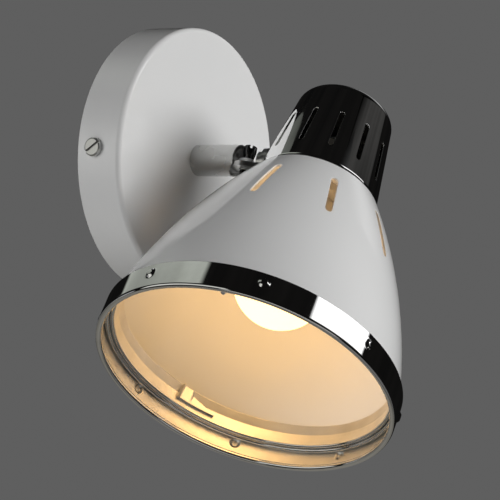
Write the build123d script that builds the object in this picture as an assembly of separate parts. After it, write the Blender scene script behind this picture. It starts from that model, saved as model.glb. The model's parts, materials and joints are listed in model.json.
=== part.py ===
from build123d import *
import math
import os

# Wall spotlight: a round canopy on the wall, a short stem with a half-lap hinge at its end,
# and a bell-shaped head that turns on the hinge's arm. Millimetres.
# Origin: centre of the canopy's back face, on the wall. -Y is away from the wall, +Z is up.

# Pose in the photograph, in degrees
hinge_lean = 14.8      # hinge pin, turned about the stem's axis from upright
arm_swing = 11.7       # arm, about the hinge pin, from straight out of the stem
head_turn = 20.9       # head, about the arm's axis, from hanging straight down

# Clearances
running_fit = 0.05     # radial, of a pin in its bore
face_gap = 0.1         # between faces that slide on each other
seat_gap = 0.1         # between curved sheets that sit in each other
overshoot = 1.0        # of a cutter past the face it cuts

# Canopy
canopy_diameter = 130.0
canopy_depth = 24.2
canopy_sheet = 1.0
canopy_edge_radius = 2.5

# Wall bracket
bracket_width = 16.0
bracket_sheet = 2.0
bracket_inset = 1.2    # from the canopy's inside wall to the bracket's ear
ear_height = 16.0
wall_slot_spacing = 84.0
wall_slot_length = 12.0
wall_slot_width = 4.6
cable_hole_diameter = 12.0

# Side screws of the canopy
side_screw_height = 9.7   # from the wall
side_screw_diameter = 3.9
side_screw_length = 9.0
side_screw_head_diameter = 9.0
side_screw_head_height = 2.4
side_screw_slot_turn = 35.0
screw_slot_width = 1.2
screw_head_round = 0.35   # of the head's height
screw_end_inset = 0.2     # from a screw's end to the back of the bracket

# Stem
stem_diameter = 15.5
stem_bore = 12.5
stem_floor = 8.0
stem_edge_chamfer = 0.3
pivot_reach = 53.5     # from the wall to the hinge pin
thread_diameter = 10.0 # hollow threaded studs
stud_bore = 7.0
stud_inside_canopy = 10.0
stud_inset = 1.0       # from the stud's end to the end of its thread
nut_across_flats = 14.0
nut_thickness = 4.0
washer_diameter = 18.0
washer_thickness = 1.0

# Hinge
pin_diameter = 3.0
pin_head_diameter = 6.4   # thumb screw
pin_head_height = 6.8
pin_foot_diameter = 4.8
pin_flare_height = 3.4
pin_grip_count = 14
pin_grip_radius = 0.35
pin_head_round = 0.8
pin_head_clearance = 0.5  # from the pin's head to the end of the tube
pin_slot_depth = 1.6
pin_slot_turn = 40.0
pin_end_length = 0.6   # past the nut
pin_nut_across_flats = 5.5
pin_nut_thickness = 2.4
tongue_width = 5.6
tongue_top = 0.6       # above the stem's axis
tongue_bottom = -1.8
plug_length = 12.0
wire_hole_diameter = 3.0
wire_hole_offset = 4.3
wire_hole_height = 1.4
hinge_washer_thickness = 0.5
hinge_washer_diameter = 7.0

# Arm
lug_diameter = 15.0
lug_thickness = 2.4
lug_clearance = 0.4
arm_diameter = 10.0
arm_bore = 5.2
arm_step = 5.9         # from the pin to the full round of the arm
collar_reach = 10.15   # from the pin to the collar's far face
collar_diameter = 13.5
collar_thickness = 1.5
saddle_diameter = 14.0
saddle_thickness = 2.6
saddle_blank = 4.0     # from the cap's skin to the end of the saddle before shaping
inner_saddle_thickness = 3.0
arm_washer_thickness = 0.8
arm_washer_diameter = 16.0

# Head, heights measured along its axis from the mouth
mouth_diameter = 141.6
ring_height = 13.5
ring_sheet = 0.8
ring_lip_radius = 1.5
ring_pip_count = 8
ring_pip_diameter = 5.8
ring_pip_rise = 1.0
ring_pip_height = 8.4
ring_pip_turn = 24.0
shade_rim_height = 11.0
shade_height = 108.9   # mouth to the seat of the cap
shade_belly_height = 61.3
shade_belly_radius = 55.3
shade_neck_radius = 31.1
shade_wall = 1.2
shade_slot_count = 9
shade_slot_length = 31.0
shade_slot_width = 3.4
shade_slot_height = 82.5
shade_slot_turn = 34.8
inner_band_top = 22.0
inner_band_crease = 17.4
inner_band_draw = 1.2   # of the band's top edge, towards the axis
inner_band_sheet = 0.8
rim_bead_radius = 1.1
inner_bead_radius = 1.05
inner_bead_lift = 0.9   # above the shade's rim
bead_shoulder = 1.7     # above the shade's rim
lock_tab_start = 39.5
lock_tab_sweep = 17.5
lock_tab_low = 14.3
lock_tab_inset = 0.4    # from the top of the band
lock_tab_rise = 1.6
lock_tab_tip = 0.8      # height of its pointed end
lock_slit_share = 0.34  # of the tab's sweep
lock_slit_depth = 2.6
lock_fin_rise = 3.6
lock_fin_thickness = 1.0

# Cap
cap_base_radius = 30.0
cap_end_radius = 23.2
cap_height = 53.8
cap_end_round = 6.0
cap_sheet = 0.9
cap_slot_count = 12
cap_slot_length = 23.0
cap_slot_width = 2.3
cap_slot_height = 22.5  # slot middle above the cap's seat
cap_slot_turn = 7.4
arm_height = 18.6       # arm's axis above the cap's seat

# Lampholder and lamp
strap_width = 12.0
strap_sheet = 1.5
strap_overhang = 2.0    # past the holder's stud
strap_height = 30.6     # underside of the cross leg above the cap's seat
holder_stud_length = 16.0
holder_stud_rise = 2.0  # past the nut
holder_skirt_radius = 13.5
holder_skirt_length = 20.0
holder_collar_radius = 15.5
holder_collar_height = 5.0
holder_body_radius = 12.5
holder_body_height = 23.0
holder_boss_radius = 8.0
holder_dome_rise = 3.5
ring_nut_radius = 19.5
ring_nut_height = 4.5
grip_count = 12
grip_radius = 1.2
shade_hole_clearance = 0.6
socket_radius = 7.3
socket_sheet = 0.4
socket_length = 20.0
socket_inset = 1.0
contact_height = 6.2    # socket's middle contact above the cap's seat
contact_sheet = 0.5
contact_width = 5.0
contact_headroom = 1.5
globe_diameter = 45.0
lamp_length = 80.0
lamp_cap_radius = 6.9
lamp_cap_length = 22.5
lamp_cap_sheet = 0.5
lamp_crown_height = 2.0
lamp_crown_width = 2.0  # outside the tip
lamp_insulator_length = 2.6
lamp_tip_length = 1.6
lamp_tip_radius = 2.2
lamp_tip_round = 1.0
glass_wall = 0.8
glass_neck_radius = 7.6
glass_stem_depth = 3.0  # inside the lamp's cap
globe_shoulder = 50.0   # degrees above the globe's equator
shoulder_hollow = 1.6   # of the neck's curve

# Terminal block
block_x = 22.0
block_width = 20.0
block_length = 16.0
block_depth = 12.0
block_chamfer = 1.5
pole_spacing = 11.0
pole_height = 5.4       # above the block's foot
pole_bore = 2.0
pole_tube = 2.8
pole_screw_diameter = 2.6
pole_screw_length = 4.6
pole_screw_spacing = 8.0
pole_slot_width = 0.6
pole_slot_depth = 0.6
insert_inset = 1.0
block_screw_diameter = 2.4
block_screw_seat = 6.0  # above the block's foot
block_screw_head_height = 1.6
earth_x = -16.0
earth_screw_diameter = 4.0
earth_head_diameter = 7.5

# Leads
lead_diameter = 1.8
lead_spacing = 2.6
lead_bend = 1.7
lead_loop_height = 5.0  # above the terminal block
lead_loop_step = 3.0    # between the two loops, each way
lead_strip = 4.0        # inside the terminal block
lead_slack = 0.5        # past a corner before the bend
lead_in_plug = 5.0
lead_in_arm = 6.0

# Derived sizes
canopy_radius = canopy_diameter / 2
stem_radius = stem_diameter / 2
thread_radius = thread_diameter / 2 - running_fit
nut_bore_radius = thread_diameter / 2
stem_length = pivot_reach - canopy_depth
stem_end_gap = pin_head_diameter / 2 + pin_head_clearance
pole_level = bracket_sheet + pole_height
block_seat = bracket_sheet + block_screw_seat
mouth_radius = mouth_diameter / 2
ring_inner_radius = mouth_radius - ring_sheet
shade_rim_radius = ring_inner_radius - seat_gap
cap_seat = shade_height
cap_top = cap_seat + cap_height
cap_taper = (cap_base_radius - cap_end_radius) / cap_height
arm_level = cap_seat + arm_height
lug_top = tongue_bottom - hinge_washer_thickness - face_gap
lug_bottom = lug_top - lug_thickness
lug_radius = lug_diameter / 2
contact_level = cap_seat + contact_height
lamp_low = contact_level - lamp_length
globe_radius = globe_diameter / 2
globe_level = lamp_low + globe_radius
lamp_cap_top = contact_level - lamp_tip_length - lamp_insulator_length
lamp_cap_rim = lamp_cap_top - lamp_cap_length
strap_level = cap_seat + strap_height
holder_stud_top = strap_level + strap_sheet + nut_thickness + holder_stud_rise
contact_roof = contact_level + contact_sheet + contact_headroom

BASE = (Align.CENTER, Align.CENTER, Align.MIN)


def circle_through(a, b, c):
    """Centre and radius of the circle through three (radius, height) points."""
    ax, ay = a
    bx, by = b[0] - ax, b[1] - ay
    cx, cy = c[0] - ax, c[1] - ay
    cross = 2 * (bx * cy - by * cx)
    ux = (cy * (bx * bx + by * by) - by * (cx * cx + cy * cy)) / cross
    uy = (bx * (cx * cx + cy * cy) - cx * (bx * bx + by * by)) / cross
    return ax + ux, ay + uy, math.hypot(ux, uy)


shade_points = (
    (shade_rim_radius, shade_rim_height),
    (shade_belly_radius, shade_belly_height),
    (shade_neck_radius, shade_height),
)
shade_centre_r, shade_centre_h, shade_curve_radius = circle_through(*shade_points)


def shade_radius(height):
    """Outer radius of the shade at a height above the mouth."""
    return shade_centre_r + math.sqrt(shade_curve_radius**2 - (height - shade_centre_h) ** 2)


def cap_radius(height):
    """Outer radius of the cap's cone at a height above the mouth."""
    return cap_base_radius - cap_taper * (height - cap_seat)


cap_radius_at_arm = cap_radius(arm_level)
saddle_face = cap_radius_at_arm + saddle_thickness
strap_face = cap_radius_at_arm - cap_sheet - inner_saddle_thickness
nut_face = strap_face - strap_sheet - face_gap - arm_washer_thickness
arm_end = nut_face - nut_thickness - face_gap
arm_reach = saddle_face + face_gap + collar_reach  # from the pin to the head's axis

# Frames of the moving bodies
wall_frame = Rot(X=90)
stem_frame = Pos(0, -pivot_reach, 0) * Rot(Y=hinge_lean)
arm_frame = stem_frame * Rot(Z=arm_swing)
head_frame = arm_frame * Rot(Y=head_turn) * Pos(0, -arm_reach, -arm_level)


def turned(*lines):
    """Solid turned about Z from the lines of a closed (radius, height) outline."""
    edges = [edge for line in lines for edge in line.edges()]
    return revolve(Plane.XZ * make_face(edges), Axis.Z)


def rod(radius, low, high):
    """Round bar along Z between two heights."""
    return Pos(0, 0, low) * Cylinder(radius, high - low, align=BASE)


def tube(outer, inner, low, high):
    """Round tube along Z between two heights."""
    return rod(outer, low, high) - rod(inner, low, high)


def hex_nut(across_flats, thickness, bore_radius, low):
    """Hexagon nut on the Z axis."""
    blank = extrude(RegularPolygon(across_flats / 2, 6, major_radius=False), thickness)
    return Pos(0, 0, low) * (blank - Cylinder(bore_radius, thickness, align=BASE))


def box_between(low, high):
    """Box between two corners."""
    size = [b - a for a, b in zip(low, high)]
    middle = [(a + b) / 2 for a, b in zip(low, high)]
    return Pos(*middle) * Box(*size)


def turned_by(angle):
    """Turn about the head's axis, from the arm's side towards +X."""
    return Rot(Z=-angle)


def slot_cutter(length, width, depth):
    """Round-ended slot along X, cut both ways along Z."""
    return extrude(SlotOverall(length, width), depth, both=True)


def wire(points):
    """Insulated lead along straight runs with rounded bends."""
    path = FilletPolyline(*points, radius=lead_bend)
    start = Plane(path @ 0, z_dir=path % 0)
    return sweep(start * Circle(lead_diameter / 2), path)


def make_canopy():
    outer = canopy_radius
    inner = outer - canopy_sheet
    floor = canopy_depth - canopy_sheet
    bend = canopy_edge_radius
    inner_bend = bend - canopy_sheet
    half = math.sqrt(0.5)
    hole = thread_diameter / 2 + seat_gap
    shell = turned(
        Polyline((inner, floor - inner_bend), (inner, 0), (outer, 0), (outer, canopy_depth - bend)),
        ThreePointArc(
            (outer, canopy_depth - bend),
            (outer - bend + bend * half, canopy_depth - bend + bend * half),
            (outer - bend, canopy_depth),
        ),
        Polyline((outer - bend, canopy_depth), (hole, canopy_depth), (hole, floor), (outer - bend, floor)),
        ThreePointArc(
            (outer - bend, floor),
            (outer - bend + inner_bend * half, floor - inner_bend + inner_bend * half),
            (inner, floor - inner_bend),
        ),
    )
    screw_hole = Rot(Y=90) * rod(side_screw_diameter / 2 + seat_gap, -2 * outer, 2 * outer)
    return wall_frame * (shell - Pos(0, 0, side_screw_height) * screw_hole)


def make_wall_bracket():
    half_width = bracket_width / 2
    inside = canopy_radius - canopy_sheet
    ear = math.sqrt(inside**2 - half_width**2) - bracket_inset
    strap = box_between((-ear, -half_width, 0), (ear, half_width, bracket_sheet))
    for side in (-1, 1):
        near, far = sorted((side * (ear - bracket_sheet), side * ear))
        strap += box_between((near, -half_width, 0), (far, half_width, ear_height))
        slot = Pos(side * wall_slot_spacing / 2, 0, 0)
        strap -= slot * slot_cutter(wall_slot_length, wall_slot_width, 2 * bracket_sheet)
    holes = (
        (0, cable_hole_diameter / 2),
        (earth_x, earth_screw_diameter / 2 + running_fit),
        (block_x, block_screw_diameter / 2 + running_fit),
    )
    for x, radius in holes:
        strap -= Pos(x, 0, 0) * rod(radius, -overshoot, bracket_sheet + overshoot)
    ear_hole = Rot(Y=90) * rod(side_screw_diameter / 2 + running_fit, -2 * ear, 2 * ear)
    return wall_frame * (strap - Pos(0, 0, side_screw_height) * ear_hole)


def slotted_screw(shank_radius, length, head_radius, head_height):
    """Screw pointing down -Z with its head above Z = 0 and a slot across the head."""
    head = fillet(rod(head_radius, 0, head_height).edges().group_by(Axis.Z)[-1], head_height * screw_head_round)
    slot = Pos(0, 0, head_height) * Box(3 * head_radius, screw_slot_width, head_height)
    return head + rod(shank_radius, -length, 0) - slot


def make_canopy_screws():
    screw = slotted_screw(
        side_screw_diameter / 2, side_screw_length, side_screw_head_diameter / 2, side_screw_head_height
    )
    screws = []
    for side in (-1, 1):
        place = Pos(side * canopy_radius, 0, side_screw_height) * Rot(Y=side * 90)
        screws.append(wall_frame * place * Rot(Z=side_screw_slot_turn) * screw)
    return Compound(children=screws)


def make_earth_screw():
    screw = slotted_screw(
        earth_screw_diameter / 2,
        bracket_sheet - screw_end_inset,
        earth_head_diameter / 2,
        side_screw_head_height,
    )
    return wall_frame * Pos(earth_x, 0, bracket_sheet) * screw


def make_terminal_block():
    body = Pos(0, 0, bracket_sheet) * Box(block_width, block_length, block_depth, align=BASE)
    body = chamfer(body.edges().filter_by(Axis.Y).group_by(Axis.Z)[-1], block_chamfer)
    for x in (-pole_spacing / 2, pole_spacing / 2):
        body -= Pos(x, 0, pole_level) * Rot(X=90) * Cylinder(pole_tube, 2 * block_length)
        for y in (-pole_screw_spacing / 2, pole_screw_spacing / 2):
            body -= Pos(x, y, 0) * rod(pole_screw_diameter / 2 + seat_gap, pole_level, 2 * block_depth)
    body -= rod(block_screw_diameter / 2 + running_fit, 0, 2 * block_depth)
    body -= rod(block_screw_diameter + seat_gap, block_seat, 2 * block_depth)
    return wall_frame * Pos(block_x, 0, 0) * body


def make_terminal_inserts():
    inserts = []
    length = block_length - 2 * insert_inset
    for x in (-pole_spacing / 2, pole_spacing / 2):
        insert = Rot(X=90) * Pos(0, 0, -length / 2) * tube(pole_tube - running_fit, pole_bore, 0, length)
        for y in (-pole_screw_spacing / 2, pole_screw_spacing / 2):
            insert -= Pos(0, y, 0) * rod(pole_screw_diameter / 2 + running_fit, 0, 2 * pole_tube)
        inserts.append(wall_frame * Pos(block_x + x, 0, pole_level) * insert)
    return Compound(children=inserts)


def make_terminal_screws():
    screws = []
    for x in (-pole_spacing / 2, pole_spacing / 2):
        for y in (-pole_screw_spacing / 2, pole_screw_spacing / 2):
            low = pole_level + lead_diameter / 2 + seat_gap
            screw = rod(pole_screw_diameter / 2, low, low + pole_screw_length)
            slot = Box(2 * pole_screw_diameter, pole_slot_width, 2 * pole_slot_depth)
            slot = Pos(0, 0, low + pole_screw_length) * slot
            screws.append(wall_frame * Pos(block_x + x, y, 0) * (screw - slot))
    return Compound(children=screws)


def make_block_screw():
    length = block_seat - screw_end_inset
    screw = slotted_screw(block_screw_diameter / 2, length, block_screw_diameter, block_screw_head_height)
    return wall_frame * Pos(block_x, 0, block_seat) * screw


def notch():
    """Half-lap cut for the arm's lug, about the hinge pin."""
    return rod(lug_radius + lug_clearance, -stem_diameter, tongue_bottom)


def make_stem_tube():
    body = tube(stem_radius, stem_bore / 2, stem_end_gap, stem_length)
    body += tube(stem_radius, nut_bore_radius, stem_length - stem_floor, stem_length)
    body = chamfer(body.edges().filter_by(GeomType.CIRCLE).sort_by(Axis.Z)[0:1], stem_edge_chamfer)
    return stem_frame * (Rot(X=-90) * body - notch())


def make_hinge_plug():
    plug = Rot(X=-90) * rod(stem_bore / 2 - running_fit, stem_end_gap, stem_end_gap + plug_length)
    for side in (-1, 1):
        bore = Pos(side * wire_hole_offset, 0, wire_hole_height) * Rot(X=90)
        plug -= bore * Cylinder(wire_hole_diameter / 2, 4 * plug_length)
    half = tongue_width / 2
    tongue = box_between((-half, 0, tongue_bottom), (half, stem_end_gap + overshoot, tongue_top))
    tongue += rod(half, tongue_bottom, tongue_top)
    pin_hole = rod(pin_diameter / 2 + running_fit, -stem_diameter, stem_diameter)
    return stem_frame * (plug - notch() + tongue - pin_hole)


def hinge_stack():
    """Levels under the lug: washer top, nut top, pin end."""
    washer = lug_bottom - face_gap
    nut = washer - hinge_washer_thickness
    return washer, nut, nut - pin_nut_thickness - pin_end_length


def make_hinge_screw():
    _, _, end = hinge_stack()
    radius = pin_head_diameter / 2
    head = turned(
        Polyline(
            (0, 0),
            (pin_foot_diameter / 2, 0),
            (radius, pin_flare_height),
            (radius, pin_head_height),
            (0, pin_head_height),
            (0, 0),
        )
    )
    head = fillet(head.edges().group_by(Axis.Z)[-1], pin_head_round)
    grip = Pos(radius, 0, 0) * rod(pin_grip_radius, 0, pin_head_height)
    for index in range(pin_grip_count):
        head -= Rot(Z=index * 360 / pin_grip_count) * grip
    head -= Pos(0, 0, pin_head_height) * Box(2 * pin_head_diameter, screw_slot_width, 2 * pin_slot_depth)
    screw = head + rod(pin_diameter / 2, end - tongue_top, 0)
    return stem_frame * Pos(0, 0, tongue_top) * Rot(Z=pin_slot_turn) * screw


def make_hinge_washers():
    under_lug, under_washer, _ = hinge_stack()
    radius = hinge_washer_diameter / 2
    bore = pin_diameter / 2 + running_fit
    upper = tube(radius, bore, tongue_bottom - hinge_washer_thickness, tongue_bottom)
    lower = tube(radius, bore, under_washer, under_lug)
    return Compound(children=[stem_frame * upper, stem_frame * lower])


def make_hinge_nut():
    _, top, _ = hinge_stack()
    nut = hex_nut(pin_nut_across_flats, pin_nut_thickness, pin_diameter / 2 + running_fit, 0)
    return stem_frame * Pos(0, 0, top - pin_nut_thickness) * nut


def make_stem_stud():
    low = stem_length - stem_floor + stud_inset
    high = stem_length + canopy_sheet + stud_inside_canopy
    return stem_frame * Rot(X=-90) * tube(thread_radius, stud_bore / 2, low, high)


def make_stem_washer():
    low = stem_length + canopy_sheet
    washer = tube(washer_diameter / 2, thread_diameter / 2 + seat_gap, low, low + washer_thickness)
    return stem_frame * Rot(X=-90) * washer


def make_stem_nut():
    low = stem_length + canopy_sheet + washer_thickness
    nut = hex_nut(nut_across_flats, nut_thickness, nut_bore_radius, low)
    return stem_frame * Rot(X=-90) * nut


def make_stem_leads():
    leads = []
    for side in (-1, 1):
        pole_x = block_x + side * pole_spacing / 2
        pole_y = -pole_level
        over = block_length / 2 + lead_loop_height + lead_loop_step * side
        x = side * lead_spacing / 2
        hole = stem_frame * Pos(side * wire_hole_offset, 0, wire_hole_height)
        hole_x, hole_z = hole.position.X, hole.position.Z
        plug_back = pivot_reach - stem_end_gap - plug_length
        points = (
            (pole_x, pole_y, block_length / 2 - lead_strip),
            (pole_x, pole_y, over),
            (x, pole_y, over),
            (x, pole_y, 0),
            (x, -canopy_depth - stem_floor - lead_slack, 0),
            (hole_x, -plug_back + lead_slack, hole_z),
            (hole_x, -plug_back - lead_in_plug, hole_z),
        )
        leads.append(wire(points))
    return Compound(children=leads)


def make_arm():
    lug = Circle(lug_radius)
    foot = Pos(0, -collar_reach + collar_thickness / 2) * Rectangle(arm_diameter, collar_thickness)
    plate = extrude(make_hull((lug + foot).edges()), lug_thickness)
    body = Pos(0, 0, lug_bottom) * plate
    along = Rot(X=90)
    body += along * rod(arm_diameter / 2, arm_step, collar_reach - collar_thickness / 2)
    body += along * rod(collar_diameter / 2, collar_reach - collar_thickness, collar_reach)
    body += along * rod(thread_radius, collar_reach, arm_reach - arm_end)
    body -= along * rod(arm_bore / 2, arm_step, arm_reach)
    body -= rod(pin_diameter / 2 + running_fit, -stem_diameter, stem_diameter)
    return arm_frame * body


def cap_form(offset, height):
    """Solid cone of the cap, drawn in by an offset, from its seat to a height."""
    return turned(
        Polyline(
            (0, cap_seat),
            (cap_base_radius - offset, cap_seat),
            (cap_base_radius - offset - cap_taper * height, cap_seat + height),
            (0, cap_seat + height),
            (0, cap_seat),
        )
    )


def toward_arm(solid):
    """Lay a solid built along Z on the arm's axis, with Z as distance from the head's axis."""
    return Pos(0, 0, arm_level) * Rot(X=-90) * solid


def make_cap():
    outer = fillet(cap_form(0, cap_height).edges().group_by(Axis.Z)[-1], cap_end_round)
    inner = cap_form(cap_sheet, cap_height - cap_sheet)
    inner = fillet(inner.edges().group_by(Axis.Z)[-1], cap_end_round - cap_sheet)
    cap = outer - inner
    slant = math.degrees(math.atan(cap_taper))
    level = cap_seat + cap_slot_height
    cutter = Pos(0, cap_radius(level), level) * Rot(X=slant) * Rot(X=-90) * Rot(Z=90)
    cutter = cutter * slot_cutter(cap_slot_length, cap_slot_width, 4 * cap_sheet)
    for index in range(1, cap_slot_count):
        cap -= turned_by(cap_slot_turn + index * 360 / cap_slot_count) * cutter
    return cap - toward_arm(rod(thread_diameter / 2 + seat_gap, 0, 2 * cap_base_radius))


def make_outer_saddle():
    low = cap_radius_at_arm - saddle_blank
    blank = tube(saddle_diameter / 2, thread_diameter / 2 + seat_gap, low, saddle_face)
    return toward_arm(blank) - cap_form(-seat_gap, cap_height)


def make_inner_saddle():
    high = cap_radius_at_arm + saddle_blank
    blank = tube(saddle_diameter / 2, thread_diameter / 2 + seat_gap, strap_face, high)
    return toward_arm(blank) & cap_form(cap_sheet + seat_gap, cap_height)


def make_holder_strap():
    half = strap_width / 2
    inside = strap_face - strap_sheet
    leg_low = arm_level - saddle_diameter / 2
    leg = box_between((-half, inside, leg_low), (half, strap_face, strap_level + strap_sheet))
    end = -half - strap_overhang
    cross = box_between((-half, end, strap_level), (half, strap_face, strap_level + strap_sheet))
    corner = (leg + cross).edges().filter_by(Axis.X).sort_by(lambda e: e.center().Y + e.center().Z)[-1]
    strap = fillet(corner, strap_sheet)
    strap -= toward_arm(rod(thread_diameter / 2 + seat_gap, 0, 2 * cap_base_radius))
    return strap - rod(thread_diameter / 2 + seat_gap, cap_seat, cap_top)


def make_holder_stud():
    return tube(thread_radius, stud_bore / 2, holder_stud_top - holder_stud_length, holder_stud_top)


def make_holder_nut():
    return hex_nut(nut_across_flats, nut_thickness, nut_bore_radius, strap_level + strap_sheet)


def make_lampholder():
    low = cap_seat - holder_skirt_length
    collar_top = cap_seat + holder_collar_height
    body_top = cap_seat + holder_body_height
    dome_top = body_top + holder_dome_rise
    socket = socket_radius + socket_sheet + running_fit
    thread_low = holder_stud_top - holder_stud_length
    return turned(
        Polyline(
            (socket, low),
            (holder_skirt_radius, low),
            (holder_skirt_radius, cap_seat),
            (holder_collar_radius, cap_seat),
            (holder_collar_radius, collar_top),
            (holder_body_radius, collar_top),
            (holder_body_radius, body_top),
            (holder_boss_radius, dome_top),
            (holder_boss_radius, strap_level),
            (nut_bore_radius, strap_level),
            (nut_bore_radius, thread_low),
            (0, thread_low),
            (0, contact_roof),
            (socket, contact_roof),
            (socket, low),
        )
    )


def make_socket_shell():
    high = contact_level - lamp_tip_length - socket_inset
    return tube(socket_radius + socket_sheet, socket_radius, high - socket_length, high)


def make_socket_contact():
    half = contact_width / 2
    reach = socket_radius - socket_inset
    strip = box_between((-half, -half, contact_level), (half, reach, contact_level + contact_sheet))
    riser = box_between((-half, reach - contact_sheet, contact_level), (half, reach, contact_roof))
    return strip + riser


def make_ring_nut():
    top = cap_seat - shade_wall
    collar = tube(ring_nut_radius, holder_skirt_radius + running_fit, top - ring_nut_height, top)
    grip = Pos(ring_nut_radius, 0, top - ring_nut_height / 2)
    for index in range(grip_count):
        collar -= Rot(Z=index * 360 / grip_count) * grip * Cylinder(grip_radius, 2 * ring_nut_height)
    return collar


def make_shade():
    neck_hole = holder_skirt_radius + shade_hole_clearance
    rim, belly, neck = shade_points
    inner = [(radius - shade_wall, height) for radius, height in shade_points]
    ceiling = shade_height - shade_wall
    inner_neck = (shade_radius(ceiling) - shade_wall, ceiling)
    shade = turned(
        ThreePointArc(rim, belly, neck),
        Polyline(neck, (neck_hole, shade_height), (neck_hole, ceiling), inner_neck),
        ThreePointArc(inner_neck, inner[1], inner[0]),
        Line(inner[0], rim),
    )
    edge = shade_radius(shade_slot_height)
    slope = math.degrees(math.asin((shade_slot_height - shade_centre_h) / shade_curve_radius))
    cutter = Pos(0, edge, shade_slot_height) * Rot(X=slope) * Rot(X=-90) * Rot(Z=90)
    cutter = cutter * slot_cutter(shade_slot_length, shade_slot_width, 5 * shade_wall)
    for index in range(shade_slot_count):
        shade -= turned_by(shade_slot_turn + index * 360 / shade_slot_count) * cutter
    return shade


def make_trim_ring():
    lip = ring_lip_radius
    middle = mouth_radius - lip
    curl_top = lip + math.sqrt(lip**2 - (lip - ring_sheet) ** 2)
    ring = turned(
        Polyline(
            (ring_inner_radius, curl_top),
            (ring_inner_radius, ring_height),
            (mouth_radius, ring_height),
            (mouth_radius, lip),
        ),
        ThreePointArc((mouth_radius, lip), (middle, 0), (middle - lip, lip)),
        ThreePointArc((middle - lip, lip), (middle, 2 * lip), (ring_inner_radius, curl_top)),
    )
    half = ring_pip_diameter / 2
    ball = (half**2 + ring_pip_rise**2) / (2 * ring_pip_rise)
    centre = Pos(0, mouth_radius + ring_pip_rise - ball, ring_pip_height)
    outside = Pos(0, mouth_radius - ring_sheet / 2 + half, ring_pip_height) * Box(2 * half, 2 * half, 2 * half)
    dome = (centre * Sphere(ball)) & outside
    dimple = centre * Sphere(ball - ring_sheet)
    for index in range(ring_pip_count):
        turn = turned_by(ring_pip_turn + index * 360 / ring_pip_count)
        ring = ring + turn * dome - turn * dimple
    return ring


def make_lock_tab(inner):
    """Tongue and upturned fin on the inside of the band, from the arm's side towards +X."""
    half = inner * math.sin(math.radians(lock_tab_sweep / 2))
    slit = half * (2 * lock_slit_share - 1)
    top = inner_band_top - lock_tab_inset
    outline = Polyline(
        (-half, lock_tab_low),
        (half, lock_tab_low),
        (half, lock_tab_low + lock_tab_tip),
        (slit, top - lock_slit_depth),
        (slit, top),
        (-half, top),
        (-half, lock_tab_low),
    )
    depth = 2 * lock_tab_rise
    tongue = Pos(0, inner, 0) * extrude(Plane.XZ * make_face(outline.edges()), depth, both=True)
    back = inner + inner_band_sheet / 2
    tongue &= tube(back, inner - lock_tab_rise, lock_tab_low, top)
    side = Polyline(
        (back, lock_tab_low),
        (back, top),
        (inner - lock_fin_rise, top),
        (inner - lock_tab_rise, lock_tab_low),
        (back, lock_tab_low),
    )
    fin = extrude(Plane.YZ * make_face(side.edges()), lock_fin_thickness)
    return turned_by(lock_tab_start + lock_tab_sweep / 2) * tongue + turned_by(lock_tab_start) * fin


def make_inner_ring():
    outer = shade_radius(inner_band_top) - shade_wall - seat_gap
    inner = outer - inner_band_sheet
    flange = ring_inner_radius - seat_gap
    rim = shade_rim_height
    shoulder = rim + bead_shoulder
    back = shade_radius(shoulder) - shade_wall - seat_gap
    rim_bead = rim_bead_radius
    bead = inner_bead_radius
    bead_level = rim + inner_bead_lift
    ring = turned(
        ThreePointArc((flange, rim), (flange - rim_bead, rim - rim_bead), (flange - 2 * rim_bead, rim)),
        Line((flange - 2 * rim_bead, rim), (inner + 2 * bead, bead_level)),
        ThreePointArc((inner + 2 * bead, bead_level), (inner + bead, bead_level - bead), (inner, bead_level)),
        Polyline(
            (inner, bead_level),
            (inner, inner_band_crease),
            (inner - inner_band_draw, inner_band_top),
            (outer - inner_band_draw, inner_band_top),
            (outer, inner_band_crease),
            (outer, shoulder),
            (back, shoulder),
            (back, rim),
            (flange, rim),
        ),
    )
    return ring + make_lock_tab(inner)


def make_bulb_glass():
    neck_high = lamp_cap_rim + glass_stem_depth
    shoulder = math.radians(globe_shoulder)
    join = (globe_radius * math.cos(shoulder), globe_level + globe_radius * math.sin(shoulder))
    bend = ((join[0] + glass_neck_radius) / 2 - shoulder_hollow, (join[1] + lamp_cap_rim) / 2)
    seat_radius = lamp_cap_radius - lamp_cap_sheet - running_fit
    outer = turned(
        ThreePointArc((0, lamp_low), (globe_radius, globe_level), join),
        ThreePointArc(join, bend, (glass_neck_radius, lamp_cap_rim - face_gap)),
        Polyline(
            (glass_neck_radius, lamp_cap_rim - face_gap),
            (seat_radius, lamp_cap_rim - face_gap),
            (seat_radius, neck_high),
            (0, neck_high),
            (0, lamp_low),
        ),
    )
    hollow = Pos(0, 0, globe_level) * Sphere(globe_radius - glass_wall)
    hollow += rod(seat_radius - glass_wall, globe_level, neck_high - glass_wall)
    return outer - hollow


def make_bulb_cap():
    inner = lamp_cap_radius - lamp_cap_sheet
    shoulder = lamp_cap_top - lamp_crown_height
    crown_radius = lamp_tip_radius + lamp_crown_width
    rim = tube(lamp_cap_radius, inner, lamp_cap_rim, shoulder)
    crown = turned(
        Polyline(
            (inner, shoulder),
            (lamp_cap_radius, shoulder),
            (crown_radius, lamp_cap_top),
            (crown_radius - lamp_cap_sheet, lamp_cap_top),
            (inner, shoulder),
        )
    )
    return rim + crown


def make_bulb_insulator():
    top = contact_level - lamp_tip_length
    return turned(
        Polyline(
            (0, lamp_cap_top),
            (lamp_tip_radius + lamp_crown_width, lamp_cap_top),
            (lamp_tip_radius, top),
            (0, top),
            (0, lamp_cap_top),
        )
    )


def make_bulb_contact():
    low = contact_level - lamp_tip_length
    dome = rod(lamp_tip_radius, low, contact_level)
    return fillet(dome.edges().group_by(Axis.Z)[-1], lamp_tip_round)


def make_arm_washer():
    bore = thread_diameter / 2 + seat_gap
    return toward_arm(tube(arm_washer_diameter / 2, bore, nut_face, nut_face + arm_washer_thickness))


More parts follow.
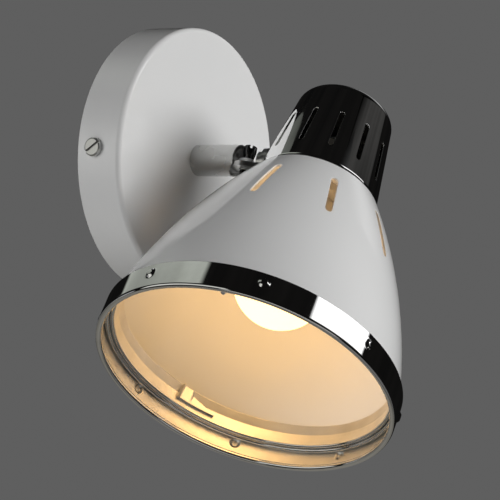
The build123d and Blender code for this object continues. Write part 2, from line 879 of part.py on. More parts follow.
def make_arm_nut():
    return toward_arm(hex_nut(nut_across_flats, nut_thickness, nut_bore_radius, nut_face - nut_thickness))


def make_head_leads():
    leads = []
    rise = cap_seat + holder_body_height + holder_dome_rise + lead_diameter / 2 + lead_slack
    clear = (arm_end + holder_body_radius) / 2
    for side in (-1, 1):
        x = side * lead_spacing / 2
        stop = holder_boss_radius + seat_gap
        points = (
            (x, arm_end + lead_in_arm, arm_level),
            (x, clear, arm_level),
            (x, clear, rise),
            (x, stop, rise),
        )
        leads.append(wire(points))
    return Compound(children=leads)


nodes = {
    "canopy": make_canopy(),
    "wall_bracket": make_wall_bracket(),
    "canopy_screws": make_canopy_screws(),
    "earth_screw": make_earth_screw(),
    "terminal_block": make_terminal_block(),
    "terminal_inserts": make_terminal_inserts(),
    "terminal_screws": make_terminal_screws(),
    "block_screw": make_block_screw(),
    "stem_tube": make_stem_tube(),
    "stem_stud": make_stem_stud(),
    "stem_washer": make_stem_washer(),
    "stem_nut": make_stem_nut(),
    "stem_leads": make_stem_leads(),
    "hinge_plug": make_hinge_plug(),
    "hinge_screw": make_hinge_screw(),
    "hinge_washers": make_hinge_washers(),
    "hinge_nut": make_hinge_nut(),
    "hinge_arm": make_arm(),
    "arm_washer": head_frame * make_arm_washer(),
    "arm_nut": head_frame * make_arm_nut(),
    "outer_saddle": head_frame * make_outer_saddle(),
    "inner_saddle": head_frame * make_inner_saddle(),
    "cap": head_frame * make_cap(),
    "holder_strap": head_frame * make_holder_strap(),
    "holder_stud": head_frame * make_holder_stud(),
    "holder_nut": head_frame * make_holder_nut(),
    "lampholder": head_frame * make_lampholder(),
    "socket_shell": head_frame * make_socket_shell(),
    "socket_contact": head_frame * make_socket_contact(),
    "shade_ring_nut": head_frame * make_ring_nut(),
    "shade": head_frame * make_shade(),
    "trim_ring": head_frame * make_trim_ring(),
    "inner_ring": head_frame * make_inner_ring(),
    "bulb_glass": head_frame * make_bulb_glass(),
    "bulb_cap": head_frame * make_bulb_cap(),
    "bulb_insulator": head_frame * make_bulb_insulator(),
    "bulb_contact": head_frame * make_bulb_contact(),
    "head_leads": head_frame * make_head_leads(),
}

os.makedirs("parts", exist_ok=True)
for name, shape in nodes.items():
    export_step(shape, f"parts/{name}.step")
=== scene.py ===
import bmesh
import bpy
import json
import math
from mathutils import Matrix, Vector


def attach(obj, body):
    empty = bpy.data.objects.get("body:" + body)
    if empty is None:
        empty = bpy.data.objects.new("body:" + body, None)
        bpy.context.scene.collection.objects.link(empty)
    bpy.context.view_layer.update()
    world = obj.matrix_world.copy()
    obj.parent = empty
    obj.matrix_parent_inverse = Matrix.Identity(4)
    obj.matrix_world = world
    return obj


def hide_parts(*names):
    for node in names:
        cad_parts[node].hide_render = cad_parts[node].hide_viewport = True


# Looks of the wall spotlight. Its sizes are in millimetres, as in the part's source, until a mesh is made.
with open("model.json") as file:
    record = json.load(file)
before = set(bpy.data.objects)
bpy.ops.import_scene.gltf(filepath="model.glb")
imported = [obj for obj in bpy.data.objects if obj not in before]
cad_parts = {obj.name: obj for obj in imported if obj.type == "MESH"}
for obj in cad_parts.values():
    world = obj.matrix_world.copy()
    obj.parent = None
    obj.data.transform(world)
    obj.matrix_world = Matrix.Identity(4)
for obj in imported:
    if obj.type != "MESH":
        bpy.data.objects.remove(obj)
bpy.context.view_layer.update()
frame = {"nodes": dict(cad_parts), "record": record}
nodes = frame["nodes"]
MM = 0.001

# Pose of the head in the photograph
hinge_lean = 14.8
arm_swing = 11.7
head_turn = 20.9
pivot_reach = 53.5
arm_reach = 40.5

# Canopy
canopy_radius = 65.0
canopy_depth = 24.2
canopy_sheet = 1.0
canopy_edge = 2.5
canopy_segments = 192      # flats of a full turn
stud_hole_radius = 5.1

# Shade
rim_height = 11.0
shade_height = 108.9
shade_rim_radius = 69.9
shade_belly = (55.3, 61.3)
shade_neck_radius = 31.1
shade_wall = 1.2
shade_neck_round = 0.9
shade_hole_radius = 14.1
shade_slots = 9
shade_slot_length = 31.0
shade_slot_width = 3.4
shade_slot_height = 82.5
shade_slot_turn = 34.8
shade_slot_edge = 0.25     # round of a slot's edge
shade_field_below = 6.0    # from a slot's ends to the plain rows of the sheet
shade_field_above = 5.0
shade_across = 16          # steps across and along the field round a slot
shade_along = 20
shade_skirt_steps = 24     # rows of the plain sheet under the slots
shade_top_steps = 6        # and above them

# Trim ring
mouth_radius = 70.8
ring_height = 13.5
ring_sheet = 0.8
ring_lip = 1.5
ring_top_round = 0.25
pip_count = 8
pip_radius = 2.9
pip_rise = 1.0
pip_height = 8.4
pip_turn = 24.0
pip_flank = 0.6            # share of a pip's radius that its flank takes up
pip_crown = 0.08           # extra rise of its middle, as a share of its rise
pip_rings = 12
ring_across = 20
ring_along = 10

# Inner ring
band_top = 22.0
band_crease = 17.4
band_draw = 1.2
band_sheet = 0.8
rim_bead = 1.1
inner_bead = 1.05
inner_bead_lift = 0.9
bead_shoulder = 1.7
seat_gap = 0.1
tab_start = 39.5
tab_sweep = 17.5
tab_low = 14.3
tab_inset = 0.4
tab_rise = 1.6
tab_tip = 0.8
slit_share = 0.34
slit_depth = 2.6
fin_rise = 3.6
fin_thickness = 1.0
tab_edge = 0.2
tab_steps = 8              # columns of the tongue before its slit
tip_steps = 16             # columns of its pointed part
band_segments = 216

# Cap
cap_height = 53.8
cap_base_radius = 30.0
cap_end_radius = 23.2
cap_end_round = 6.0
cap_foot_round = 2.2
cap_foot_turn = 70.0
cap_sheet = 0.9
cap_slots = 12
cap_slot_length = 23.0
cap_slot_width = 2.3
cap_slot_height = 22.5
cap_slot_turn = 7.4
cap_slot_edge = 0.3
cap_field_margin = 4.0
cap_across = 12
cap_along = 24
cap_hole_border = -13.5    # between the arm's hole and the slot beside it
arm_hole_radius = 5.4      # the saddles cover its edge
arm_height = 18.6
arm_level = shade_height + arm_height

# Lamp
lamp_low = 35.1
globe_radius = 22.5
globe_level = lamp_low + globe_radius
globe_shoulder = 50.0
lamp_neck_radius = 7.6
lamp_cap_rim = 88.3
lamp_segments = 96
glow_full = 30.0           # end of the full light, along the glass from its lowest point
glow_least = 60.0          # start of the least light

# Rounded edges of copied solids
weld_distance = 0.001
flat_angle = 0.3           # faces that meet under this angle become one
sharp_angle = 25.0         # edges over this angle are rounded
round_segments = 3


def turn(angle, axis):
    return Matrix.Rotation(math.radians(angle), 4, axis)


stem_frame = Matrix.Translation((0, -pivot_reach, 0)) @ turn(hinge_lean, "Y")
arm_frame = stem_frame @ turn(arm_swing, "Z")
head_frame = arm_frame @ turn(head_turn, "Y") @ Matrix.Translation((0, -arm_reach, -arm_level))
wall_frame = turn(90, "X")


# Shader maths

class Value:
    """Output of a node. Numbers take part in Python sums, and each operation adds one Math node."""

    def __init__(self, skin, socket):
        self.skin = skin
        self.socket = socket

    def sum(self, operation, first, second):
        return self.skin.add("ShaderNodeMath", {"operation": operation}, {0: first, 1: second})

    def __add__(self, other):
        return self.sum("ADD", self, other)

    def __sub__(self, other):
        return self.sum("SUBTRACT", self, other)

    def __rsub__(self, other):
        return self.sum("SUBTRACT", other, self)

    def __mul__(self, other):
        return self.sum("MULTIPLY", self, other)

    __radd__ = __add__
    __rmul__ = __mul__


class Skin:
    """The node tree of one finish."""

    def __init__(self, name):
        self.material = bpy.data.materials.new(name)
        self.material.use_nodes = True
        self.tree = self.material.node_tree
        self.tree.nodes.clear()
        self.out = self.tree.nodes.new("ShaderNodeOutputMaterial")

    def add(self, kind, settings, sockets, out=0):
        """Add a node, set it up, fill its sockets and return one output."""
        node = self.tree.nodes.new(kind)
        for key, value in settings.items():
            setattr(node, key, value)
        for key, value in sockets.items():
            if isinstance(value, Value):
                self.tree.links.new(value.socket, node.inputs[key])
            else:
                node.inputs[key].default_value = value
        return Value(self, node.outputs[out])

    def place(self):
        """Position on the piece, in metres."""
        return self.add("ShaderNodeTexCoord", {}, {}, "Object")

    def strip(self):
        """Position along and across a turned piece, in metres."""
        return self.add("ShaderNodeTexCoord", {}, {}, "UV")

    def stretched(self, place, scale):
        return self.add("ShaderNodeMapping", {}, {"Vector": place, "Scale": scale})

    def noise(self, place, scale, detail=2.0, rough=0.5):
        sockets = {"Vector": place, "Scale": scale, "Detail": detail, "Roughness": rough}
        return self.add("ShaderNodeTexNoise", {}, sockets)

    def spread(self, value, low, high, to_low=0.0, to_high=1.0):
        """Stretch a range of a value to another, without going past its ends."""
        sockets = {0: value, 1: low, 2: high, 3: to_low, 4: to_high}
        return self.add("ShaderNodeMapRange", {}, sockets)

    def blend(self, factor, first, second):
        """Colour between two colours."""
        sockets = {0: factor, 6: (*first, 1), 7: (*second, 1)}
        return self.add("ShaderNodeMix", {"data_type": "RGBA"}, sockets, 2)

    def bump(self, height, depth):
        """Normal from a height, with the depth in millimetres."""
        return self.add("ShaderNodeBump", {}, {"Strength": 1.0, "Distance": depth * MM, "Height": height})

    def finish(self, **sockets):
        """End in a Principled shader; underscores in names stand for spaces."""
        named = {key.replace("_", " "): value for key, value in sockets.items()}
        shader = self.add("ShaderNodeBsdfPrincipled", {}, named)
        self.tree.links.new(shader.socket, self.out.inputs["Surface"])
        return self.material

    def glow(self, colour, strength):
        """End in a black surface that gives its own light."""
        return self.finish(
            Base_Color=(0, 0, 0, 1),
            Roughness=1.0,
            Specular_IOR_Level=0.0,
            Emission_Color=colour,
            Emission_Strength=strength,
        )


# Finishes

def enamel(name, light, dark, rough, coat):
    """Gloss paint with a slow drift of colour, fine orange peel and a little dust."""
    skin = Skin(name)
    place = skin.place()
    drift = skin.noise(place, scale=14.0)
    peel = skin.noise(place, scale=420.0, detail=1.0)
    dust = skin.spread(skin.noise(place, scale=900.0, detail=3.0), 0.68, 0.78)
    return skin.finish(
        Base_Color=skin.blend(skin.spread(drift, 0.3, 0.7), dark, light),
        Roughness=rough + 0.06 * drift + 0.15 * dust,
        Specular_IOR_Level=0.2,
        Coat_Weight=skin.spread(drift, 0.2, 0.8, to_low=coat - 0.1, to_high=coat),
        Coat_Roughness=0.008,
        Normal=skin.bump(peel, depth=0.003),
    )


def chrome():
    """Polished plate, slightly wavy, with faint smears."""
    skin = Skin("chrome_plate")
    place = skin.place()
    smear = skin.spread(skin.noise(place, scale=45.0, detail=4.0, rough=0.6), 0.45, 0.75)
    wave = skin.noise(place, scale=60.0, detail=1.0)
    return skin.finish(
        Base_Color=skin.blend(smear, (0.80, 0.80, 0.80), (0.70, 0.70, 0.69)),
        Metallic=1.0,
        Roughness=0.025 + 0.05 * smear,
        Normal=skin.bump(wave, depth=0.03),
    )


def spun_chrome():
    """Unpolished inside of a ring, with fine turning lines along the strip."""
    skin = Skin("spun_chrome")
    strip = skin.strip()
    drawn_out = skin.stretched(strip, (6.0, 5200.0, 1.0))
    lines = skin.noise(drawn_out, scale=1.0, detail=3.0, rough=0.6)
    stain = skin.noise(strip, scale=70.0, detail=3.0)
    return skin.finish(
        Base_Color=skin.blend(skin.spread(stain, 0.35, 0.7), (0.88, 0.85, 0.80), (0.78, 0.75, 0.70)),
        Metallic=1.0,
        Roughness=0.26 + 0.20 * lines,
        Normal=skin.bump(lines, depth=0.04),
    )


def plated_steel(name, light, dark, rough):
    """Metal with cloudy colour and a fine grain."""
    skin = Skin(name)
    place = skin.place()
    cloud = skin.noise(place, scale=70.0)
    grain = skin.noise(place, scale=1600.0)
    return skin.finish(
        Base_Color=skin.blend(skin.spread(cloud, 0.3, 0.7), dark, light),
        Metallic=1.0,
        Roughness=rough + 0.08 * cloud,
        Normal=skin.bump(grain, depth=0.01),
    )


def moulded(name, light, dark, rough):
    """Plastic with cloudy colour and a grained skin."""
    skin = Skin(name)
    place = skin.place()
    cloud = skin.noise(place, scale=60.0, detail=3.0)
    grain = skin.noise(place, scale=1300.0, detail=3.0)
    return skin.finish(
        Base_Color=skin.blend(cloud, dark, light),
        Roughness=rough + 0.12 * grain,
        Normal=skin.bump(grain, depth=0.04),
    )


def lit_opal():
    """Frosted glass, lit from inside, whose light falls off from the globe's belly up to its neck."""
    skin = Skin("opal_glass")
    place = skin.place()
    cloud = skin.noise(place, scale=40.0)
    frost = skin.noise(place, scale=2500.0)
    up = skin.add("ShaderNodeSeparateXYZ", {}, {0: skin.strip()}, "Y")
    fall = skin.spread(up, glow_full * MM, glow_least * MM)
    return skin.finish(
        Base_Color=skin.blend(cloud, (0.90, 0.88, 0.84), (0.94, 0.92, 0.89)),
        Roughness=0.35 + 0.15 * frost,
        Emission_Color=skin.blend(fall, (1.0, 0.58, 0.195), (0.25, 0.14, 0.05)),
        Emission_Strength=3.5,
        Normal=skin.bump(frost, depth=0.02),
    )


def fused_glass():
    """Black glass round the lamp's contact."""
    skin = Skin("dark_glass")
    cloud = skin.noise(skin.place(), scale=300.0)
    return skin.finish(
        Base_Color=skin.blend(cloud, (0.012, 0.012, 0.016), (0.03, 0.03, 0.035)),
        Roughness=0.08 + 0.1 * cloud,
    )


white_enamel = enamel("white_enamel", (0.80, 0.80, 0.795), (0.77, 0.77, 0.765), rough=0.30, coat=1.0)
# Paint inside the shade: a lighter, slightly warmer copy of the outer paint. The extra lightness and warmth
# are painted light, standing in for the even glow that the lamp spreads through the shade.
lit_inner_enamel = enamel("lit_inner_enamel", (0.92, 0.91, 0.88), (0.89, 0.88, 0.85), rough=0.36, coat=0.3)
chrome_plate = chrome()
brushed_band = spun_chrome()
bright_steel = plated_steel("bright_steel", (0.62, 0.62, 0.61), (0.56, 0.56, 0.55), rough=0.24)
dark_steel = plated_steel("dark_steel", (0.10, 0.10, 0.10), (0.03, 0.03, 0.03), rough=0.18)
brass = plated_steel("brass", (0.80, 0.58, 0.26), (0.62, 0.42, 0.17), rough=0.22)
lamp_metal = plated_steel("lamp_cap_metal", (0.72, 0.72, 0.72), (0.56, 0.56, 0.56), rough=0.24)
holder_plastic = moulded("holder_plastic", (0.50, 0.47, 0.41), (0.44, 0.41, 0.35), rough=0.42)
raw_steel = plated_steel("raw_steel", (0.30, 0.29, 0.27), (0.20, 0.19, 0.18), rough=0.50)
lead_plastic = moulded("lead_plastic", (0.62, 0.60, 0.57), (0.52, 0.50, 0.47), rough=0.40)
opal_glass = lit_opal()
dark_glass = fused_glass()

finishes = {
    "white_enamel": white_enamel,
    "chrome_plate": chrome_plate,
    "bright_steel": bright_steel,
    "dark_steel": dark_steel,
    "brass": brass,
    "lamp_cap_metal": lamp_metal,
    "holder_plastic": holder_plastic,
    "lead_plastic": lead_plastic,
    "opal_glass": opal_glass,
    "dark_glass": dark_glass,
}
for subpart in frame["record"]["subparts"]:
    for holder in nodes[subpart["node"]].material_slots:
        holder.material = finishes[subpart["material_slot"]]


# Mesh building

def enter(name, mesh, body, node):
    """Put a finished mesh into the scene on its body, in place of its solid."""
    made = bpy.data.objects.new(name, mesh)
    bpy.context.scene.collection.objects.link(made)
    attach(made, body)
    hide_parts(node)


class Draft:
    """Points and faces of one piece, with a normal and a strip position at each corner."""

    def __init__(self, place):
        self.place = place
        self.points = []
        self.index = {}
        self.faces = []
        self.normals = []
        self.strips = []
        self.coats = []

    def point(self, spot):
        key = tuple(round(v, 4) for v in spot)
        if key not in self.index:
            self.index[key] = len(self.points)
            self.points.append(self.place @ Vector(spot) * MM)
        return self.index[key]

    def face(self, corners, coat=0):
        """Add a face; a corner is (position, normal, (along, across))."""
        kept = []
        for spot, normal, strip in corners:
            number = self.point(spot)
            if number not in [k[0] for k in kept]:
                kept.append((number, normal, strip))
        if len(kept) < 3:
            return
        self.faces.append([k[0] for k in kept])
        self.normals.extend(self.place.to_3x3() @ k[1] for k in kept)
        self.strips.extend(k[2] for k in kept)
        self.coats.append(coat)

    def sheet(self, rows, coat=0, inside=False):
        """Faces between rows of corners; inside turns them round."""
        for low, high in zip(rows, rows[1:]):
            for i in range(len(low) - 1):
                corners = [low[i], low[i + 1], high[i + 1], high[i]]
                self.face(corners[::-1] if inside else corners, coat)

    def piece(self, name, body, node, coats):
        """Make the piece; each face's coat counts along coats."""
        mesh = bpy.data.meshes.new(name)
        mesh.from_pydata(self.points, [], self.faces)
        for coat in coats:
            mesh.materials.append(coat)
        mesh.polygons.foreach_set("material_index", self.coats)
        mesh.polygons.foreach_set("use_smooth", [True] * len(self.faces))
        layer = mesh.uv_layers.new(name="strip")
        layer.data.foreach_set("uv", [v * MM for strip in self.strips for v in strip])
        mesh.normals_split_custom_set([normal.normalized() for normal in self.normals])
        enter(name, mesh, body, node)


def line(start, stop, steps=1):
    """Straight run of a (radius, height) outline, with the outside on its right."""
    dr, dh = stop[0] - start[0], stop[1] - start[1]
    size = math.hypot(dr, dh)
    return [
        (start[0] + dr * i / steps, start[1] + dh * i / steps, dh / size, -dr / size)
        for i in range(steps + 1)
    ]


def bend(centre, radius, start, stop, steps):
    """Round run about a centre between two angles, with the outside on its right."""
    side = 1 if stop > start else -1
    run = []
    for i in range(steps + 1):
        angle = math.radians(start + (stop - start) * i / steps)
        c, s = math.cos(angle), math.sin(angle)
        run.append((centre[0] + radius * c, centre[1] + radius * s, side * c, side * s))
    return run


def even(count, start=0.0):
    """Angles of a full turn in equal steps, with the first one again at the end."""
    return [math.radians(start) + math.tau * i / count for i in range(count + 1)]


def spun(draft, runs, angles, coat=0):
    """Turn runs of an outline about the Z axis; strips are measured round the mouth's radius."""
    reach = 0.0
    for run in runs:
        rows = []
        last = run[0]
        for spot in run:
            reach += math.hypot(spot[0] - last[0], spot[1] - last[1])
            last = spot
            row = []
            for angle in angles:
                c, s = math.cos(angle), math.sin(angle)
                normal = Vector((spot[2] * c, spot[2] * s, spot[3]))
                around = (angle - angles[0]) * mouth_radius
                row.append(((spot[0] * c, spot[0] * s, spot[1]), normal, (around, reach)))
            rows.append(row)
        draft.sheet(rows, coat)


def turned_round(run):
    """The same run seen from its other side."""
    return [(r, h, -nr, -nh) for r, h, nr, nh in run[::-1]]


class Skirt:
    """A turned sheet, read by angle, distance along its outline and depth under its outside."""

    def __init__(self, outline):
        self.outline = outline

    def spot(self, angle, along, depth):
        r, h, nr, nh = self.outline(along)
        r, h = r - depth * nr, h - depth * nh
        return (r * math.cos(angle), r * math.sin(angle), h)

    def normal(self, angle, along, out, across=0.0, up=0.0):
        """Direction made of parts out of the sheet, round it and along its outline."""
        _, _, nr, nh = self.outline(along)
        c, s = math.cos(angle), math.sin(angle)
        outward = Vector((nr * c, nr * s, nh))
        round_it = Vector((-s, c, 0))
        upward = Vector((-nh * c, -nh * s, nr))
        return out * outward + across * round_it + up * upward

    def radius(self, along):
        return self.outline(along)[0]


def slot_border(radius, straight, across, along):
    """Steps round a slot: angle of its edge, share of its straight and place on the field's border."""
    arc = math.pi * radius / 4
    share = arc / (2 * arc + 2 * straight)
    steps = []
    for side in (1, -1):
        # Along one side: an eighth of a turn, the straight and another eighth
        for i in range(along):
            t = i / along
            if t <= share:
                angle, shift = -45 + 45 * t / share, -1
            elif t > 1 - share:
                angle, shift = 45 * (t - 1 + share) / share, 1
            else:
                angle, shift = 0, 2 * (t - share) / (1 - 2 * share) - 1
            steps.append((angle + (0 if side > 0 else 180), side * shift, (side, side * (2 * t - 1))))
        # Across the end: a quarter turn
        for i in range(across):
            t = i / across
            steps.append((45 + 90 * t + (0 if side > 0 else 180), side, (side * (1 - 2 * t), side)))
    return steps + steps[:1]


class Field:
    """One sector of a skirt with a round-ended slot or a pip in it."""

    def __init__(self, skirt, angle, half_angle, span, opening, steps, aside=0.0):
        """Span is (low, high), opening (middle, radius, half its straight) and steps (across, along)."""
        self.skirt = skirt
        self.aside = aside
        self.angle = angle
        self.half_angle = half_angle
        self.low, self.high = span
        self.middle, self.radius, self.straight = opening
        self.border = slot_border(self.radius, self.straight, *steps)

    def at(self, step, off, share):
        """Angle and distance along at a step round the slot, off its edge, moved towards the border."""
        turn_angle, shift, corner = step
        a = math.radians(turn_angle)
        along = self.middle + self.straight * shift + (self.radius + off) * math.sin(a)
        angle = self.aside + (self.radius + off) * math.cos(a) / self.skirt.radius(along)
        border_angle = self.half_angle * corner[0]
        border_along = (self.low + self.high) / 2 + (self.high - self.low) / 2 * corner[1]
        angle += (border_angle - angle) * share
        along += (border_along - along) * share
        return self.angle + angle, along, a

    def row(self, off, depth, share=0.0, lean=0.0, side=1):
        """One ring of corners; lean is the share of the normal that points into the slot."""
        corners = []
        upright = math.sqrt(1 - lean * lean)
        for step in self.border:
            angle, along, a = self.at(step, off, share)
            into = (-lean * math.cos(a), -lean * math.sin(a))
            normal = self.skirt.normal(angle, along, side * upright, *into)
            spot = self.skirt.spot(angle, along, depth)
            corners.append((spot, normal, (angle * mouth_radius, along)))
        return corners


# Rows of a field, as shares of the way from the slot's edge to the border
SHARES = (0.0, 0.05, 0.14, 0.28, 0.46, 0.7, 1.0)
EDGE_STEPS = 4


def slotted(draft, field, wall, edge, coat_in):
    """Both sides of a field round its slot, with the slot's rounded edges and walls."""
    outer = [field.row(edge, 0, share) for share in SHARES]
    inner = [field.row(edge, wall, share, side=-1) for share in SHARES]
    draft.sheet(outer, inside=True)
    draft.sheet(inner, coat_in)
    lip_out, lip_in = [], []
    for i in range(EDGE_STEPS + 1):
        quarter = math.radians(90 * i / EDGE_STEPS)
        c, s = math.cos(quarter), math.sin(quarter)
        lip_out.append(field.row(edge - edge * s, edge - edge * c, lean=s))
        lip_in.append(field.row(edge - edge * s, wall - edge + edge * c, lean=s, side=-1))
    draft.sheet(lip_out)
    draft.sheet(lip_in, inside=True)
    draft.sheet([lip_out[-1], lip_in[-1]])


def embossed(draft, field, wall, rise, coat_in):
    """Both sides of a field round a pressed pip."""
    for depth, side, coat in ((0, 1, 0), (wall, -1, coat_in)):
        rows = []
        for share in SHARES[:0:-1]:
            rows.append(field.row(0, depth, share, side=side))
        for i in range(pip_rings + 1):
            t = 1 - i / pip_rings
            flank = min(1.0, max(0.0, (t - 1 + pip_flank) / pip_flank))
            crown = pip_crown * rise
            # A smooth step up the flank, and a shallow dome on top
            lift = rise * (1 - flank * flank * (3 - 2 * flank)) + crown * (1 - t * t)
            slope = -rise * 6 * flank * (1 - flank) / pip_flank - 2 * crown * t
            lean = slope / math.hypot(field.radius, slope)
            rows.append(field.row(-field.radius * (1 - t), depth - lift, lean=lean * side, side=side))
        draft.sheet(rows, coat, inside=side < 0)


def sector_angle(turn_angle, index, count):
    """Angle about Z of a sector that is counted from the arm's side, in radians."""
    return math.radians(90 - turn_angle - index * 360 / count)


# Pieces

def circle_through(a, b, c):
    """Centre and radius of the circle through three (radius, height) points."""
    ax, ay = a
    bx, by = b[0] - ax, b[1] - ay
    cx, cy = c[0] - ax, c[1] - ay
    cross = 2 * (bx * cy - by * cx)
    ux = (cy * (bx * bx + by * by) - by * (cx * cx + cy * cy)) / cross
    uy = (bx * (cx * cx + cy * cy) - cx * (bx * bx + by * by)) / cross
    return ax + ux, ay + uy, math.hypot(ux, uy)


shade_rim = (shade_rim_radius, rim_height)
shade_neck = (shade_neck_radius, shade_height)
shade_centre_r, shade_centre_h, shade_curve = circle_through(shade_rim, shade_belly, shade_neck)


def shade_radius(height):
    """Outer radius of the shade at a height above the mouth."""
    return shade_centre_r + math.sqrt(shade_curve**2 - (height - shade_centre_h) ** 2)


def shade_reach(height):
    """Distance along the shade's outline at a height above the mouth."""
    return shade_curve * math.asin((height - shade_centre_h) / shade_curve)


def shade_outline(along):
    """Radius, height and outward normal of the shade at a distance along it."""
    a = along / shade_curve
    c, s = math.cos(a), math.sin(a)
    return shade_centre_r + shade_curve * c, shade_centre_h + shade_curve * s, c, s


def shade_spot(along, depth):
    """Spot of an outline that lies at a depth under the shade's outside."""
    r, h, nr, nh = shade_outline(along)
    return r - depth * nr, h - depth * nh, nr, nh


def shade_run(low, high, depth, steps):
    """Run of the shade's outline at a depth under its outside."""
    return [shade_spot(low + (high - low) * i / steps, depth) for i in range(steps + 1)]


def neck_round(high):
    """Round run from the top of the shade's curve over to the flat of its neck."""
    r, _, nr, nh = shade_outline(high)
    radius = shade_neck_round / (1 - nh)
    centre = (r - radius * nr, shade_height - radius)
    return bend(centre, radius, math.degrees(high / shade_curve), 90, steps=6)


def make_shade():
    draft = Draft(head_frame)
    low = shade_reach(rim_height)
    high = shade_reach(shade_height - shade_neck_round)
    middle = shade_reach(shade_slot_height)
    field_low = middle - shade_slot_length / 2 - shade_field_below
    field_high = middle + shade_slot_length / 2 + shade_field_above
    slot = (middle, shade_slot_width / 2, (shade_slot_length - shade_slot_width) / 2)
    half = math.pi / shade_slots
    for index in range(shade_slots):
        angle = sector_angle(shade_slot_turn, index, shade_slots)
        steps = (shade_across, shade_along)
        field = Field(Skirt(shade_outline), angle, half, (field_low, field_high), slot, steps)
        slotted(draft, field, shade_wall, shade_slot_edge, coat_in=1)
    neck = neck_round(high)
    ceiling = shade_spot(high, shade_wall)[:2]
    rim_in = shade_spot(low, shade_wall)[:2]
    outside = [
        shade_run(low, field_low, 0, shade_skirt_steps),
        shade_run(field_high, high, 0, shade_top_steps),
        line(rim_in, shade_outline(low)[:2]),
        neck,
        line((neck[-1][0], shade_height), (shade_hole_radius, shade_height)),
        line((shade_hole_radius, shade_height), (shade_hole_radius, ceiling[1])),
    ]
    inside = [
        turned_round(shade_run(low, field_low, shade_wall, shade_skirt_steps)),
        turned_round(shade_run(field_high, high, shade_wall, shade_top_steps)),
        line((shade_hole_radius, ceiling[1]), ceiling),
    ]
    start = math.degrees(sector_angle(shade_slot_turn, 0, shade_slots) - half)
    angles = even(shade_slots * shade_across, start)
    spun(draft, outside, angles)
    spun(draft, inside, angles, coat=1)
    draft.piece("shade_bell", "head", "shade", [white_enamel, lit_inner_enamel])


cap_top = shade_height + cap_height
cap_slope = (cap_base_radius - cap_end_radius) / cap_height
cap_slant = math.hypot(1, cap_slope)
cap_lean = math.degrees(math.atan(cap_slope))


def cap_outline(along):
    """Radius, height and outward normal of the cap's cone at a distance along it."""
    radius = cap_base_radius - cap_slope * along / cap_slant
    return radius, shade_height + along / cap_slant, 1 / cap_slant, cap_slope / cap_slant


def cap_cone(low, high, depth):
    """Straight run of the cap's cone at a depth under its outside."""
    ends = []
    for along in (low, high):
        r, h, nr, nh = cap_outline(along)
        ends.append((r - depth * nr, h - depth * nh))
    return line(*ends, steps=2)


def cap_sectors():
    """Angle of each opening in the cap, with its sector's borders; the first is the arm's hole."""
    openings = [cap_slot_turn + index * 360 / cap_slots for index in range(cap_slots)]
    borders = [opening - 180 / cap_slots for opening in openings]
    openings[0] = 0.0
    borders[0] = cap_hole_border
    borders.append(cap_hole_border + 360)
    return list(zip(openings, borders, borders[1:]))


def cap_openings(draft, span):
    """Cut the slots and the arm's hole, and return the angles that the rest of the sheet follows."""
    slot = (cap_slot_height * cap_slant, cap_slot_width / 2, (cap_slot_length - cap_slot_width) / 2)
    hole = (arm_height * cap_slant, arm_hole_radius, 0)
    angles = []
    for opening, first, last in reversed(cap_sectors()):
        angle = math.radians(90 - (first + last) / 2)
        half = math.radians((last - first) / 2)
        aside = math.radians((first + last) / 2 - opening)
        shape = hole if opening == 0 else slot
        field = Field(Skirt(cap_outline), angle, half, span, shape, (cap_across, cap_along), aside)
        slotted(draft, field, cap_sheet, cap_slot_edge, coat_in=1)
        angles.extend(angle - half + 2 * half * i / cap_across for i in range(cap_across))
    return angles + [angles[0] + math.tau]


def make_cap():
    draft = Draft(head_frame)
    middle = cap_slot_height * cap_slant
    field_low = middle - cap_slot_length / 2 - cap_field_margin
    field_high = middle + cap_slot_length / 2 + cap_field_margin
    angles = cap_openings(draft, (field_low, field_high))
    nr, nh = cap_outline(0)[2:]
    # The end's round meets the cone and the flat end
    end_r = cap_end_radius - cap_end_round * math.tan(math.radians(90 - cap_lean) / 2)
    end_centre = (end_r, cap_top - cap_end_round)
    cone_end = (end_centre[1] + cap_end_round * nh - shade_height) * cap_slant
    # The foot is drawn in under the cone
    foot_drop = cap_foot_round * math.sin(math.radians(cap_foot_turn))
    foot_start = (foot_drop + cap_foot_round * nh) * cap_slant
    foot_centre = (cap_outline(foot_start)[0] - cap_foot_round * nr, shade_height + foot_drop)
    outside = [
        bend(foot_centre, cap_foot_round, -cap_foot_turn, cap_lean, steps=8),
        cap_cone(foot_start, field_low, 0),
        cap_cone(field_high, cone_end, 0),
        bend(end_centre, cap_end_round, cap_lean, 90, steps=14),
        line((end_r, cap_top), (0, cap_top), steps=4),
    ]
    inside = [
        turned_round(bend(foot_centre, cap_foot_round - cap_sheet, -cap_foot_turn, cap_lean, steps=6)),
        turned_round(cap_cone(foot_start, field_low, cap_sheet)),
        turned_round(cap_cone(field_high, cone_end, cap_sheet)),
        turned_round(bend(end_centre, cap_end_round - cap_sheet, cap_lean, 90, steps=10)),
        turned_round(line((end_r, cap_top - cap_sheet), (0, cap_top - cap_sheet), steps=2)),
    ]
    inside.append(line(inside[0][-1][:2], outside[0][0][:2]))
    spun(draft, outside, angles)
    spun(draft, inside, angles, coat=1)
    draft.piece("slotted_cap", "head", "cap", [chrome_plate, raw_steel])


